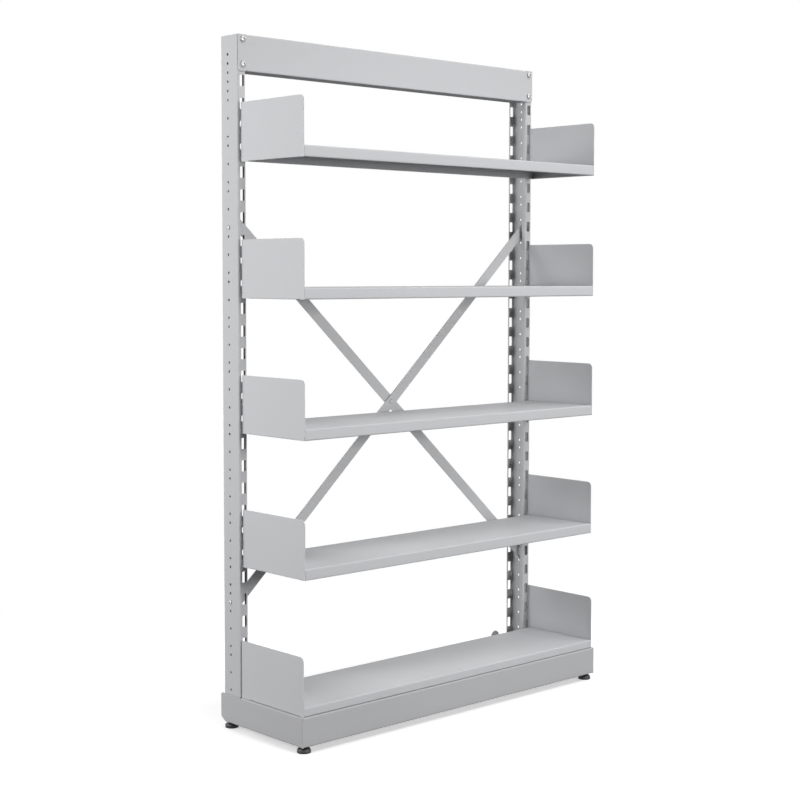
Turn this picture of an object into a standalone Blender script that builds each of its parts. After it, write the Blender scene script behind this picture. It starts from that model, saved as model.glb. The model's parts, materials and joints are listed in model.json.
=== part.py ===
"""One bay of single-sided steel library shelving, in metres.

X runs along the shelves, the front is -Y, +Z is up. The origin is on the floor,
under the middle of the plinth. Two slotted uprights stand in a folded plinth, a
header rail and a crossed pair of braces tie them, four trays hang on hooked end
brackets and a fifth tray rests on the plinth.
"""
import math

import bmesh
import bpy
from mathutils import Matrix

# Clearances
SEAT_GAP = 0.0003          # between faces that rest on each other
BORE_CLEARANCE = 0.0003    # between a shank and the side of a close hole
BOLT_CLEARANCE = 0.0006    # between a frame bolt and the side of its hole
MERGE_DISTANCE = 1e-6      # points nearer than this are one point
CUT_MARGIN = 0.001         # how far a cutter runs past the wall it opens

# Uprights: C channels, web to the outside, open to the inside
UPRIGHT_SPAN = 0.948       # outside of one web to outside of the other
UPRIGHT_DEPTH = 0.062
UPRIGHT_WIDTH = 0.0225
UPRIGHT_WALL = 0.002
UPRIGHT_BEND = 0.004       # outside radius of the folds
FRONT_LIP = 0.011
REAR_LIP = 0.005

# Slots in both flanges of an upright
SLOT_PITCH = 0.050
SLOT_COUNT = 28
SLOT_HEIGHT = 0.025
SLOT_WIDTH = 0.011
SLOT_CHAMFER = 0.0015
LOWEST_SLOT_RISE = 0.0225  # plinth top to the middle of the lowest slot

# Round holes in the webs
WEB_HOLE_PITCH = 0.020
WEB_HOLE_FROM_FRONT = 0.036
TOP_HOLE_DROP = 0.0415     # upright top to the first hole
WEB_HOLE_PERIOD = 5        # pitches after which the pattern repeats
WEB_HOLE_KEPT = (0, 2, 4)  # places of one period that have a hole
WEB_HOLE_TOP_RUN = 3       # every place up to this one has a hole
WEB_HOLE_CHANGE = 40       # from this place down the pattern counts from the lowest hole

# Header rail
HEADER_HEIGHT = 0.080
HEADER_WALL = 0.0015
HEADER_FLANGE = 0.042
HEADER_RISE = 0.0205       # middle of the highest slot to the header's lower edge
HEADER_END_SETBACK = 0.001
HEADER_CORNER = 0.007
HEADER_FLANGE_CLEARANCE = 0.001
HEADER_BOLT_DROP = 0.010   # header's upper edge to the upper bolts
HEADER_BOLT_RISE = 0.0155  # header's lower edge to the lower bolts
HEADER_BOLT_FROM_WEB = 0.014

# Shelves
SHELF_SLOT_STEP = 6        # slots between one hanging shelf and the next
HANGING_SHELVES = 4
SHELF_REACH = 0.219        # shelf front to the uprights' front faces
BRACKET_INSET = 0.008      # web's outside to the outside of a hanging bracket
BASE_BRACKET_INSET = 0.003  # the same for the base shelf's brackets
BRACKET_WALL = 0.0015
BRACKET_HEIGHT = 0.130
BRACKET_CORNER = 0.011
BRACKET_BACK_GAP = 0.001   # bracket's rear edge to the upright
BRACKET_HEEL = 0.010       # height of the foot of that edge that bears on the upright
BRACKET_FLANGE = 0.016
TRAY_DEPTH = 0.206
TRAY_WALL = 0.0012
TRAY_HEIGHT = 0.025
BASE_TRAY_HEIGHT = 0.020
TRAY_RETURN = 0.012        # hem turned in under the front and rear lips
TRAY_END_NOTCH = 0.006     # corner relief beside the end skirts
FLANGE_END_GAP = 0.004     # bracket flange to the tray's hems
SHEET_BEND = 0.003         # outside radius of folds in trays and header
BRACKET_BEND = 0.002       # the same at the foot of a bracket, tight so that the tray seats on it
BEND_RELIEF = 0.001

# Hooks on the hanging brackets
HOOKS = 2
HOOK_SLOT_RISE = 0.0275    # bracket's lower edge to the middle of its lower slot
HOOK_NECK = 0.012
HOOK_DROP = 0.010          # how far the nose hangs below the neck
HOOK_NOSE = 0.0065
HOOK_CHAMFER = 0.003

# Plinth
PLINTH_HEIGHT = 0.065
PLINTH_CLEARANCE = 0.015   # floor to the plinth's lower edge
PLINTH_WALL = 0.002
PLINTH_BEND = 0.0025
PLINTH_FRONT_OVERHANG = 0.004
PLINTH_REAR_OVERHANG = 0.009
PLINTH_TOP_FLANGE = 0.018
PLINTH_FOOT_FLANGE = 0.032
PLINTH_FRONT_TOP_FLANGE = 0.015
PLINTH_FRONT_FOOT_FLANGE = 0.010
PLINTH_REAR_CORNER = 0.005
PLINTH_REAR_CUT_LENGTH = 0.012
PLINTH_REAR_CUT_HEIGHT = 0.008
FLANGE_JOINT_GAP = 0.001
RAIL_HEIGHT = 0.050
RAIL_RISE = 0.004          # plinth's lower edge to the rear rail's
RAIL_EAR_HEIGHT = 0.017
RAIL_EAR_WIDTH = 0.028
RAIL_EAR_FROM_WEB = 0.062  # web's outside to the middle of the ear

# Braces
BRACE_WIDTH = 0.025
BRACE_THICKNESS = 0.003
BRACE_BEND = 0.005
BRACE_SETBACK = 0.020      # uprights' front faces to the nearer bar
BRACE_TAB_END = 0.012      # bolt to the end of the turned tab
BRACE_TAB_TAPER = 0.006
BRACE_UPPER_HOLE = 19      # web hole, counted from the top
BRACE_LOWER_HOLE = 61
BRACE_SPARE_HOLE = 60      # free hole above the lower bolts
BRACE_UPPER_RISE = 0.021   # upper bolts to the bar's middle line where it meets the web
BRACE_LOWER_DROP = 0.0035  # the same at the lower bolts, downwards
RIVET_SHANK = 0.006
RIVET_HEAD = 0.012
RIVET_HEAD_HEIGHT = 0.0025

# Bolts and nuts
M5_SHANK = 0.005
M5_HEAD = 0.010
M5_HEAD_HEIGHT = 0.003
M5_NUT_FLATS = 0.008
M5_NUT_HEIGHT = 0.004
M6_SHANK = 0.006
M6_HEAD = 0.014
M6_HEAD_HEIGHT = 0.004
M6_NUT_FLATS = 0.010
M6_NUT_HEIGHT = 0.005
BOLT_TAIL = 0.0015         # shank past its nut
HEAD_RIM = 0.25            # share of a bolt head's height that is straight
RAIL_BOLT_RISE = 0.035     # plinth's lower edge to the rear rail's bolts

# Levelling feet
FOOT_DIAMETER = 0.031
FOOT_EDGE = 0.004          # height of the pad's rim
FOOT_EDGE_ROUND = 0.0012
FOOT_NECK = 0.014
FOOT_NECK_RISE = 0.012     # floor to the top of the pad's dome
FOOT_INSET = 0.0165        # plinth faces to the foot's axis
STUD_DIAMETER = 0.008
STUD_SOCKET = 0.006        # floor to the bottom of the stud
STUD_TOP = 0.030
FOOT_NUT_FLATS = 0.013
FOOT_NUT_HEIGHT = 0.0065
FOOT_NUT_CLEARANCE = 0.0007

# Facets
BEND_STEPS = 3
CORNER_STEPS = 5
SHANK_SIDES = 12
HEXAGON_SIDES = 6
HOLE_SIDES = 8
FOOT_SIDES = 24
DOME_STEPS = 3
EAR_STEPS = 8
SMOOTH_ANGLE = math.radians(35)

# Places that follow from the sizes
WEB_X = UPRIGHT_SPAN / 2
PLINTH_DEPTH = PLINTH_FRONT_OVERHANG + SHELF_REACH + UPRIGHT_DEPTH + PLINTH_REAR_OVERHANG
PLINTH_FRONT_Y = -PLINTH_DEPTH / 2
PLINTH_REAR_Y = PLINTH_DEPTH / 2
SHELF_FRONT_Y = PLINTH_FRONT_Y + PLINTH_FRONT_OVERHANG
UPRIGHT_FRONT_Y = SHELF_FRONT_Y + SHELF_REACH
UPRIGHT_REAR_Y = UPRIGHT_FRONT_Y + UPRIGHT_DEPTH
PLINTH_BOTTOM_Z = PLINTH_CLEARANCE
PLINTH_TOP_Z = PLINTH_BOTTOM_Z + PLINTH_HEIGHT
PLINTH_SIDE_X = WEB_X + SEAT_GAP + PLINTH_WALL
UPRIGHT_BOTTOM_Z = PLINTH_BOTTOM_Z + PLINTH_WALL + SEAT_GAP
LOWEST_SLOT_Z = PLINTH_TOP_Z + LOWEST_SLOT_RISE
HEADER_BOTTOM_Z = LOWEST_SLOT_Z + (SLOT_COUNT - 1) * SLOT_PITCH + HEADER_RISE
UPRIGHT_TOP_Z = HEADER_BOTTOM_Z + HEADER_HEIGHT
SLOT_X = WEB_X - BRACKET_INSET + SLOT_CHAMFER + SEAT_GAP - SLOT_WIDTH / 2
HEADER_BOLT_X = WEB_X - HEADER_BOLT_FROM_WEB
TOP_HOLE_Z = UPRIGHT_TOP_Z - TOP_HOLE_DROP
WEB_HOLE = M5_SHANK + 2 * BOLT_CLEARANCE
LAST_HOLE = int((TOP_HOLE_Z - PLINTH_TOP_Z - WEB_HOLE) / WEB_HOLE_PITCH)
WEB_HOLE_Y = UPRIGHT_FRONT_Y + WEB_HOLE_FROM_FRONT
RAIL_BOLT_Z = PLINTH_BOTTOM_Z + RAIL_BOLT_RISE


def clear_scene():
    """Remove every object of the open file."""
    for old in list(bpy.data.objects):
        bpy.data.objects.remove(old, do_unlink=True)


def make_material(name, colour, roughness, metallic):
    """Return a Principled material with the given finish."""
    material = bpy.data.materials.new(name)
    material.use_nodes = True
    shader = material.node_tree.nodes["Principled BSDF"]
    shader.inputs["Base Color"].default_value = (*colour, 1.0)
    shader.inputs["Roughness"].default_value = roughness
    shader.inputs["Metallic"].default_value = metallic
    material.diffuse_color = (*colour, 1.0)
    return material


def arc_points(centre, radius, start, end, steps):
    """Return points of an arc from one angle to another, both ends included."""
    points = []
    for step in range(steps + 1):
        angle = start + (end - start) * step / steps
        points.append((centre[0] + radius * math.cos(angle), centre[1] + radius * math.sin(angle)))
    return points


def round_corner(before, corner, after, radius, steps):
    """Return the arc that rounds one corner of a path."""
    into = (before[0] - corner[0], before[1] - corner[1])
    out = (after[0] - corner[0], after[1] - corner[1])
    into_length = math.hypot(*into)
    out_length = math.hypot(*out)
    into = (into[0] / into_length, into[1] / into_length)
    out = (out[0] / out_length, out[1] / out_length)
    half = math.acos(into[0] * out[0] + into[1] * out[1]) / 2
    middle = (into[0] + out[0], into[1] + out[1])
    middle_length = math.hypot(*middle)
    reach = radius / math.sin(half) / middle_length
    centre = (corner[0] + middle[0] * reach, corner[1] + middle[1] * reach)
    run = radius / math.tan(half)
    first = (corner[0] + into[0] * run, corner[1] + into[1] * run)
    last = (corner[0] + out[0] * run, corner[1] + out[1] * run)
    start = math.atan2(first[1] - centre[1], first[0] - centre[0])
    end = math.atan2(last[1] - centre[1], last[0] - centre[0])
    turn = (end - start + math.pi) % (2 * math.pi) - math.pi
    return arc_points(centre, radius, start, start + turn, steps)


def rounded_path(points, radii, steps):
    """Return an open path whose inner corners are arcs. A radius of 0 keeps a corner."""
    path = [points[0]]
    for index in range(1, len(points) - 1):
        radius = radii[index - 1]
        if radius == 0:
            path.append(points[index])
        else:
            path += round_corner(points[index - 1], points[index], points[index + 1], radius, steps)
    path.append(points[-1])
    return path


def regular_points(radius, sides, turn=0.0):
    """Return the corners of a regular polygon."""
    step = 2 * math.pi / sides
    return [(radius * math.cos(turn + step * k), radius * math.sin(turn + step * k)) for k in range(sides)]


def place(axis, along, point):
    """Put a point of a flat outline at a distance along an axis. Outlines are YZ, XZ or XY."""
    if axis == "X":
        return (along, point[0], point[1])
    if axis == "Y":
        return (point[0], along, point[1])
    return (point[0], point[1], along)


def add_prism(bm, axis, outline, start, end):
    """Add a closed prism: a flat outline drawn out along an axis."""
    low = [bm.verts.new(place(axis, start, p)) for p in outline]
    high = [bm.verts.new(place(axis, end, p)) for p in outline]
    faces = [bm.faces.new(low), bm.faces.new(high)]
    for index in range(len(outline)):
        after = (index + 1) % len(outline)
        faces.append(bm.faces.new((low[index], low[after], high[after], high[index])))
    bmesh.ops.recalc_face_normals(bm, faces=faces)


def mirror_mesh(bm):
    """Swap left and right, with the faces still turned out."""
    bmesh.ops.transform(bm, matrix=Matrix.Scale(-1, 4, (1, 0, 0)), verts=bm.verts)
    bmesh.ops.reverse_faces(bm, faces=bm.faces)


def finish_mesh(bm, name, smooth=False):
    """Turn a bmesh into mesh data, shaded smooth where the piece is round."""
    mesh = bpy.data.meshes.new(name)
    bm.to_mesh(mesh)
    bm.free()
    if smooth:
        mesh.shade_smooth()
        mesh.set_sharp_from_angle(angle=SMOOTH_ANGLE)
    return mesh


def add_object(name, mesh, material, location=(0, 0, 0), rotation=(0, 0, 0), parent=None):
    """Place mesh data in the scene as a named piece."""
    piece = bpy.data.objects.new(name, mesh)
    bpy.context.scene.collection.objects.link(piece)
    if not mesh.materials:
        mesh.materials.append(material)
    piece.location = location
    piece.rotation_euler = rotation
    piece.parent = parent
    return piece


def add_empty(name, location):
    """Place the carrier of a moving group, on its joint's axis."""
    carrier = bpy.data.objects.new(name, None)
    bpy.context.scene.collection.objects.link(carrier)
    carrier.location = location
    return carrier


def thicken(piece, thickness):
    """Give a folded surface its sheet thickness, behind its outer faces."""
    solid = piece.modifiers.new("sheet_thickness", "SOLIDIFY")
    solid.thickness = thickness
    solid.offset = -1.0
    solid.use_even_offset = True
    solid.use_quality_normals = True


def cut(piece, cutter):
    """Open holes in a piece with a hidden cutter."""
    cutter.hide_render = True
    cutter.display_type = "WIRE"
    opening = piece.modifiers.new("holes", "BOOLEAN")
    opening.operation = "DIFFERENCE"
    opening.solver = "EXACT"
    opening.object = cutter


def add_cutter(name, bm):
    """Turn a bmesh into a cutter object."""
    cutter = bpy.data.objects.new(name, finish_mesh(bm, name))
    bpy.context.scene.collection.objects.link(cutter)
    return cutter


def moved(points, offset):
    """Shift flat points."""
    return [(p[0] + offset[0], p[1] + offset[1]) for p in points]


def turned_mesh(name, profile, sides):
    """Spin a profile of (radius, height) points about Z into a closed mesh."""
    bm = bmesh.new()
    verts = [bm.verts.new((radius, 0, height)) for radius, height in profile]
    edges = [bm.edges.new(pair) for pair in zip(verts, verts[1:])]
    bmesh.ops.spin(bm, geom=verts + edges, cent=(0, 0, 0), axis=(0, 0, 1),
                   angle=2 * math.pi, steps=sides, use_merge=True)
    bmesh.ops.remove_doubles(bm, verts=bm.verts, dist=MERGE_DISTANCE)
    bmesh.ops.recalc_face_normals(bm, faces=bm.faces)
    return finish_mesh(bm, name, smooth=True)


def dome_profile(radius, height, base):
    """Return a low dome from its rim to its crown, as (radius, height) points."""
    points = []
    for step in range(DOME_STEPS + 1):
        angle = math.pi / 2 * step / DOME_STEPS
        points.append((radius * math.cos(angle), base + height * math.sin(angle)))
    points[-1] = (0.0, base + height)
    return points


def bolt_mesh(name, head, head_height, shank, length):
    """Dome-headed bolt: head above z = 0, shank below."""
    rim = head_height * HEAD_RIM
    profile = [(0.0, -length), (shank / 2, -length), (shank / 2, 0.0), (head / 2, 0.0)]
    profile += dome_profile(head / 2, head_height - rim, rim)
    return turned_mesh(name, profile, SHANK_SIDES)


def nut_mesh(name, flats, bore, height):
    """Hexagon nut on z = 0 with a plain bore, two flats facing +Y and -Y."""
    bm = bmesh.new()
    corners = regular_points(flats / 2 / math.cos(math.pi / HEXAGON_SIDES), HEXAGON_SIDES)
    rim = []
    for index, corner in enumerate(corners):
        after = corners[(index + 1) % len(corners)]
        rim += [corner, ((corner[0] + after[0]) / 2, (corner[1] + after[1]) / 2)]
    hole = regular_points(bore / 2, len(rim))
    rings = []
    for outline, z in ((rim, 0.0), (rim, height), (hole, height), (hole, 0.0)):
        rings.append([bm.verts.new((x, y, z)) for x, y in outline])
    for ring, following in zip(rings, rings[1:] + rings[:1]):
        for index in range(len(rim)):
            after = (index + 1) % len(rim)
            bm.faces.new((ring[index], ring[after], following[after], following[index]))
    bmesh.ops.recalc_face_normals(bm, faces=bm.faces)
    return finish_mesh(bm, name)


def web_hole_z(number):
    """Height of a web hole, counted from the top."""
    return TOP_HOLE_Z - number * WEB_HOLE_PITCH


def web_hole_numbers():
    """Places of the web's hole pattern that have a hole, counted from the top."""
    kept = []
    for number in range(LAST_HOLE + 1):
        place = number if number < WEB_HOLE_CHANGE else LAST_HOLE - number
        if number <= WEB_HOLE_TOP_RUN or place % WEB_HOLE_PERIOD in WEB_HOLE_KEPT:
            kept.append(number)
    for number in (BRACE_UPPER_HOLE, BRACE_LOWER_HOLE, BRACE_SPARE_HOLE):
        if number not in kept:
            kept.append(number)
    return kept


def header_bolt_heights():
    """Heights of the two bolts at each end of the header."""
    return (UPRIGHT_TOP_Z - HEADER_BOLT_DROP, HEADER_BOTTOM_Z + HEADER_BOLT_RISE)


def upright_outline():
    """Section of the left upright in XY: outer folds, then the inner ones on the way back."""
    outside = -WEB_X
    inside = outside + UPRIGHT_WIDTH
    front = UPRIGHT_FRONT_Y
    rear = UPRIGHT_REAR_Y
    wall = UPRIGHT_WALL
    outer = [(inside, front + FRONT_LIP), (inside, front), (outside, front),
             (outside, rear), (inside, rear), (inside, rear - REAR_LIP)]
    inner = [(inside - wall, front + FRONT_LIP), (inside - wall, front + wall),
             (outside + wall, front + wall), (outside + wall, rear - wall),
             (inside - wall, rear - wall), (inside - wall, rear - REAR_LIP)]
    outer_path = rounded_path(outer, [UPRIGHT_BEND] * 4, BEND_STEPS)
    inner_path = rounded_path(inner, [UPRIGHT_BEND - wall] * 4, BEND_STEPS)
    return outer_path + inner_path[::-1]


def slot_outline():
    """Slot in XZ about its middle, with cut corners."""
    x = SLOT_WIDTH / 2
    z = SLOT_HEIGHT / 2
    c = SLOT_CHAMFER
    upper = [(x, z - c), (x - c, z), (c - x, z), (-x, z - c)]
    return upper + [(-px, -pz) for px, pz in upper]


def upright_cutter_mesh():
    """All openings of the left upright: slots, web holes and bolt holes."""
    bm = bmesh.new()
    front_wall = (UPRIGHT_FRONT_Y - CUT_MARGIN, UPRIGHT_FRONT_Y + UPRIGHT_WALL + CUT_MARGIN)
    rear_wall = (UPRIGHT_REAR_Y - UPRIGHT_WALL - CUT_MARGIN, UPRIGHT_REAR_Y + CUT_MARGIN)
    for number in range(SLOT_COUNT):
        outline = moved(slot_outline(), (-SLOT_X, LOWEST_SLOT_Z + number * SLOT_PITCH))
        add_prism(bm, "Y", outline, *front_wall)
        add_prism(bm, "Y", outline, *rear_wall)
    hole = regular_points(WEB_HOLE / 2, HOLE_SIDES, math.pi / HOLE_SIDES)
    for number in web_hole_numbers():
        outline = moved(hole, (WEB_HOLE_Y, web_hole_z(number)))
        add_prism(bm, "X", outline, -WEB_X - CUT_MARGIN, -WEB_X + UPRIGHT_WALL + CUT_MARGIN)
    bolt_hole = regular_points(M6_SHANK / 2 + BOLT_CLEARANCE, SHANK_SIDES)
    for height in header_bolt_heights():
        add_prism(bm, "Y", moved(bolt_hole, (-HEADER_BOLT_X, height)), *front_wall)
    add_prism(bm, "Y", moved(bolt_hole, (-SLOT_X, RAIL_BOLT_Z)), *rear_wall)
    return bm


def build_uprights(material):
    """Two slotted C channels, one the mirror of the other."""
    for side, is_right in (("left", False), ("right", True)):
        bm = bmesh.new()
        add_prism(bm, "Z", upright_outline(), UPRIGHT_BOTTOM_Z, UPRIGHT_TOP_Z)
        openings = upright_cutter_mesh()
        if is_right:
            mirror_mesh(bm)
            mirror_mesh(openings)
        piece = add_object(f"upright_{side}", finish_mesh(bm, f"upright_{side}"), material)
        cut(piece, add_cutter(f"upright_{side}_cutter", openings))


def add_strip(bm, edge, section):
    """Fold a strip off a straight edge. The section gives, for each line, the edge's new place."""
    previous = edge
    for line in section:
        current = [bm.verts.new(point) for point in line]
        bm.faces.new((previous[0], previous[1], current[1], current[0]))
        previous = current


def flanged_plate_mesh(name, front, half, flange_half, heights, bend, flanges, corner):
    """Plate facing -Y with flanges folded back along its lower and upper edges.

    The plate runs past the flanges at both ends, with a relief cut beside each fold. Heights and
    flanges are (lower, upper). Corner is the radius of the lower outer corners, 0 for square ones.
    """
    low, high = heights
    relief_half = flange_half + BEND_RELIEF
    end = [(relief_half, low + bend), (relief_half, low), (half, low), (half, high)]
    end += [(relief_half, high), (relief_half, high - bend)]
    right = rounded_path(end, [0, corner, 0, 0], CORNER_STEPS)
    left = [(-x, z) for x, z in reversed(right)]
    outline = [(flange_half, low + bend)] + right + [(flange_half, high - bend)]
    outline += [(-flange_half, high - bend)] + left + [(-flange_half, low + bend)]
    bm = bmesh.new()
    verts = [bm.verts.new((x, front, z)) for x, z in outline]
    bm.faces.new(verts)
    upper_right = len(right) + 1
    low_fold = arc_points((front + bend, low + bend), bend, math.pi, 1.5 * math.pi, BEND_STEPS)[1:]
    low_fold.append((front + flanges[0], low))
    low_section = [[(flange_half, y, z), (-flange_half, y, z)] for y, z in low_fold]
    add_strip(bm, [verts[0], verts[-1]], low_section)
    high_fold = arc_points((front + bend, high - bend), bend, math.pi, math.pi / 2, BEND_STEPS)[1:]
    high_fold.append((front + flanges[1], high))
    high_section = [[(-flange_half, y, z), (flange_half, y, z)] for y, z in high_fold]
    add_strip(bm, [verts[upper_right + 1], verts[upper_right]], high_section)
    bmesh.ops.recalc_face_normals(bm, faces=bm.faces)
    plate = max(bm.faces, key=lambda face: face.calc_area())
    if plate.normal.y > 0:
        bmesh.ops.reverse_faces(bm, faces=bm.faces)
    return finish_mesh(bm, name)


def build_header(material):
    """Front plate over both uprights, with a flange turned back above and below between them."""
    front = UPRIGHT_FRONT_Y - SEAT_GAP - HEADER_WALL
    half = WEB_X - HEADER_END_SETBACK
    flange_half = WEB_X - UPRIGHT_WIDTH - HEADER_FLANGE_CLEARANCE
    heights = (HEADER_BOTTOM_Z, UPRIGHT_TOP_Z)
    flanges = (HEADER_FLANGE, HEADER_FLANGE)
    mesh = flanged_plate_mesh("header_rail", front, half, flange_half, heights,
                              SHEET_BEND, flanges, HEADER_CORNER)
    piece = add_object("header_rail", mesh, material)
    thicken(piece, HEADER_WALL)
    openings = bmesh.new()
    bolt_hole = regular_points(M6_SHANK / 2 + BOLT_CLEARANCE, SHANK_SIDES)
    wall = (front - CUT_MARGIN, front + HEADER_WALL + CUT_MARGIN)
    for x in (-HEADER_BOLT_X, HEADER_BOLT_X):
        for z in header_bolt_heights():
            add_prism(openings, "Y", moved(bolt_hole, (x, z)), *wall)
    cut(piece, add_cutter("header_cutter", openings))


def build_header_fasteners(material):
    """A dome-headed bolt and a nut at each of the header's four holes."""
    clamped = HEADER_WALL + SEAT_GAP + UPRIGHT_WALL
    head_y = UPRIGHT_FRONT_Y - SEAT_GAP - HEADER_WALL - SEAT_GAP
    nut_y = UPRIGHT_FRONT_Y + UPRIGHT_WALL + SEAT_GAP
    length = clamped + 2 * SEAT_GAP + M6_NUT_HEIGHT + BOLT_TAIL
    bolt = bolt_mesh("header_bolt", M6_HEAD, M6_HEAD_HEIGHT, M6_SHANK, length)
    nut = nut_mesh("header_nut", M6_NUT_FLATS, M6_SHANK + 2 * BORE_CLEARANCE, M6_NUT_HEIGHT)
    turn = (-math.pi / 2, math.pi / 2, 0)
    for side, x in (("left", -HEADER_BOLT_X), ("right", HEADER_BOLT_X)):
        for level, z in zip(("upper", "lower"), header_bolt_heights()):
            add_object(f"header_bolt_{side}_{level}", bolt, material, (x, head_y, z), (math.pi / 2, 0, 0))
            add_object(f"header_nut_{side}_{level}", nut, material, (x, nut_y, z), turn)


def hook_points(rear_edge, middle):
    """Outline of one hook in YZ, from the bracket's rear edge round the nose and back."""
    low = middle - SLOT_HEIGHT / 2 + SEAT_GAP
    high = low + HOOK_NECK
    near = SHELF_REACH + UPRIGHT_WALL + SEAT_GAP
    far = near + HOOK_NOSE
    return [(rear_edge, low), (near, low), (near, low - HOOK_DROP), (far - HOOK_CHAMFER, low - HOOK_DROP),
            (far, low - HOOK_DROP + HOOK_CHAMFER), (far, high - HOOK_CHAMFER), (far - HOOK_CHAMFER, high),
            (rear_edge, high)]


def bracket_mesh(name, has_hooks, is_right):
    """End plate with a rounded front corner, a flange folded in along its foot, and its hooks.

    Local x = 0 is the plate's outside, y = 0 the shelf's front and z = 0 its lower edge.
    """
    bend = BRACKET_BEND
    first = TRAY_RETURN + FLANGE_END_GAP
    last = TRAY_DEPTH - TRAY_RETURN - FLANGE_END_GAP
    rear_edge = SHELF_REACH - BRACKET_BACK_GAP
    heel = SHELF_REACH - SEAT_GAP
    foot = [(0, 0), (first - BEND_RELIEF, 0), (first - BEND_RELIEF, bend), (first, bend)]
    foot += [(last, bend), (last + BEND_RELIEF, bend), (last + BEND_RELIEF, 0), (heel, 0)]
    outline = foot + [(heel, BRACKET_HEEL), (rear_edge, BRACKET_HEEL)]
    if has_hooks:
        for number in range(HOOKS):
            outline += hook_points(rear_edge, HOOK_SLOT_RISE + number * SLOT_PITCH)
    outline += [(rear_edge, BRACKET_HEIGHT)]
    outline += rounded_path([outline[-1], (0, BRACKET_HEIGHT), (0, 0)], [BRACKET_CORNER], CORNER_STEPS)[1:-1]
    bm = bmesh.new()
    verts = [bm.verts.new((0, y, z)) for y, z in outline]
    bm.faces.new(verts)
    edge = [verts[4], verts[3]]
    fold = arc_points((bend, bend), bend, math.pi, 1.5 * math.pi, BEND_STEPS)[1:]
    fold.append((BRACKET_FLANGE, 0.0))
    add_strip(bm, edge, [[(x, last, z), (x, first, z)] for x, z in fold])
    bmesh.ops.recalc_face_normals(bm, faces=bm.faces)
    plate = max(bm.faces, key=lambda face: face.calc_area())
    if plate.normal.x > 0:
        bmesh.ops.reverse_faces(bm, faces=bm.faces)
    if is_right:
        mirror_mesh(bm)
    return finish_mesh(bm, name)


def tray_mesh(name, length, height):
    """Tray folded down on four sides, with hems under the front and rear lips.

    The lips run the whole length. Beside them the top is notched, where the ends fold down.
    """
    bend = SHEET_BEND
    skirt_foot = BRACKET_WALL + SEAT_GAP
    profile = rounded_path([(TRAY_RETURN, 0), (0, 0), (0, height), (TRAY_END_NOTCH, height)],
                           [bend, bend], BEND_STEPS)
    rear = [(TRAY_DEPTH - y, z) for y, z in reversed(profile)]
    profile += rear
    bm = bmesh.new()
    half = length / 2
    flat_half = half - bend
    near = len(profile) // 2 - 1
    lines = []
    for number, (y, z) in enumerate(profile):
        reach = flat_half if number in (near, near + 1) else half
        lines.append([bm.verts.new((-reach, y, z)), bm.verts.new((reach, y, z))])
    for line, following in zip(lines, lines[1:]):
        bm.faces.new((line[0], line[1], following[1], following[0]))
    for side in (0, 1):
        sign = 1 if side else -1
        edge = [lines[near][side], lines[near + 1][side]]
        fold = arc_points((flat_half, height - bend), bend, math.pi / 2, 0, BEND_STEPS)[1:]
        fold.append((half, skirt_foot))
        ends = (TRAY_END_NOTCH, TRAY_DEPTH - TRAY_END_NOTCH)
        add_strip(bm, edge, [[(sign * x, y, z) for y in ends] for x, z in fold])
    bmesh.ops.recalc_face_normals(bm, faces=bm.faces)
    top = max(bm.faces, key=lambda face: face.calc_area())
    if top.normal.z < 0:
        bmesh.ops.reverse_faces(bm, faces=bm.faces)
    return finish_mesh(bm, name)


def build_shelf(name, carrier, outside, tray, brackets, material):
    """One shelf on its carrier: the tray between its two end brackets."""
    tray_piece = add_object(f"{name}_tray", tray, material, parent=carrier)
    thicken(tray_piece, TRAY_WALL)
    for side, x in (("left", -outside), ("right", outside)):
        piece = add_object(f"{name}_bracket_{side}", brackets[side], material, (x, 0, 0), parent=carrier)
        thicken(piece, BRACKET_WALL)


def build_shelves(material):
    """Four shelves hung in the slots, and the base shelf resting on the plinth."""
    hanging_x = WEB_X - BRACKET_INSET
    base_x = WEB_X - BASE_BRACKET_INSET
    end_play = BRACKET_WALL + SEAT_GAP
    hanging_tray = tray_mesh("hanging_tray", 2 * (hanging_x - end_play), TRAY_HEIGHT)
    base_tray = tray_mesh("base_tray", 2 * (base_x - end_play), BASE_TRAY_HEIGHT)
    hanging = {s: bracket_mesh(f"hanging_bracket_{s}", True, s == "right") for s in ("left", "right")}
    plain = {s: bracket_mesh(f"base_bracket_{s}", False, s == "right") for s in ("left", "right")}
    for number in range(1, HANGING_SHELVES + 1):
        slot_z = LOWEST_SLOT_Z + number * SHELF_SLOT_STEP * SLOT_PITCH
        carrier = add_empty(f"shelf_{number}_carrier", (0, SHELF_FRONT_Y, slot_z - HOOK_SLOT_RISE))
        build_shelf(f"shelf_{number}", carrier, hanging_x, hanging_tray, hanging, material)
    carrier = add_empty("base_shelf_carrier", (0, SHELF_FRONT_Y, PLINTH_TOP_Z + SEAT_GAP))
    build_shelf("base_shelf", carrier, base_x, base_tray, plain, material)


def foot_places():
    """Name, x and y of the four levelling feet."""
    x = PLINTH_SIDE_X - FOOT_INSET
    front = PLINTH_FRONT_Y + FOOT_INSET
    rear = UPRIGHT_REAR_Y - UPRIGHT_WALL - FOOT_NUT_CLEARANCE - FOOT_NUT_FLATS / 2
    places = []
    for row, y in (("front", front), ("rear", rear)):
        places += [(f"{row}_left", -x, y), (f"{row}_right", x, y)]
    return places


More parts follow.
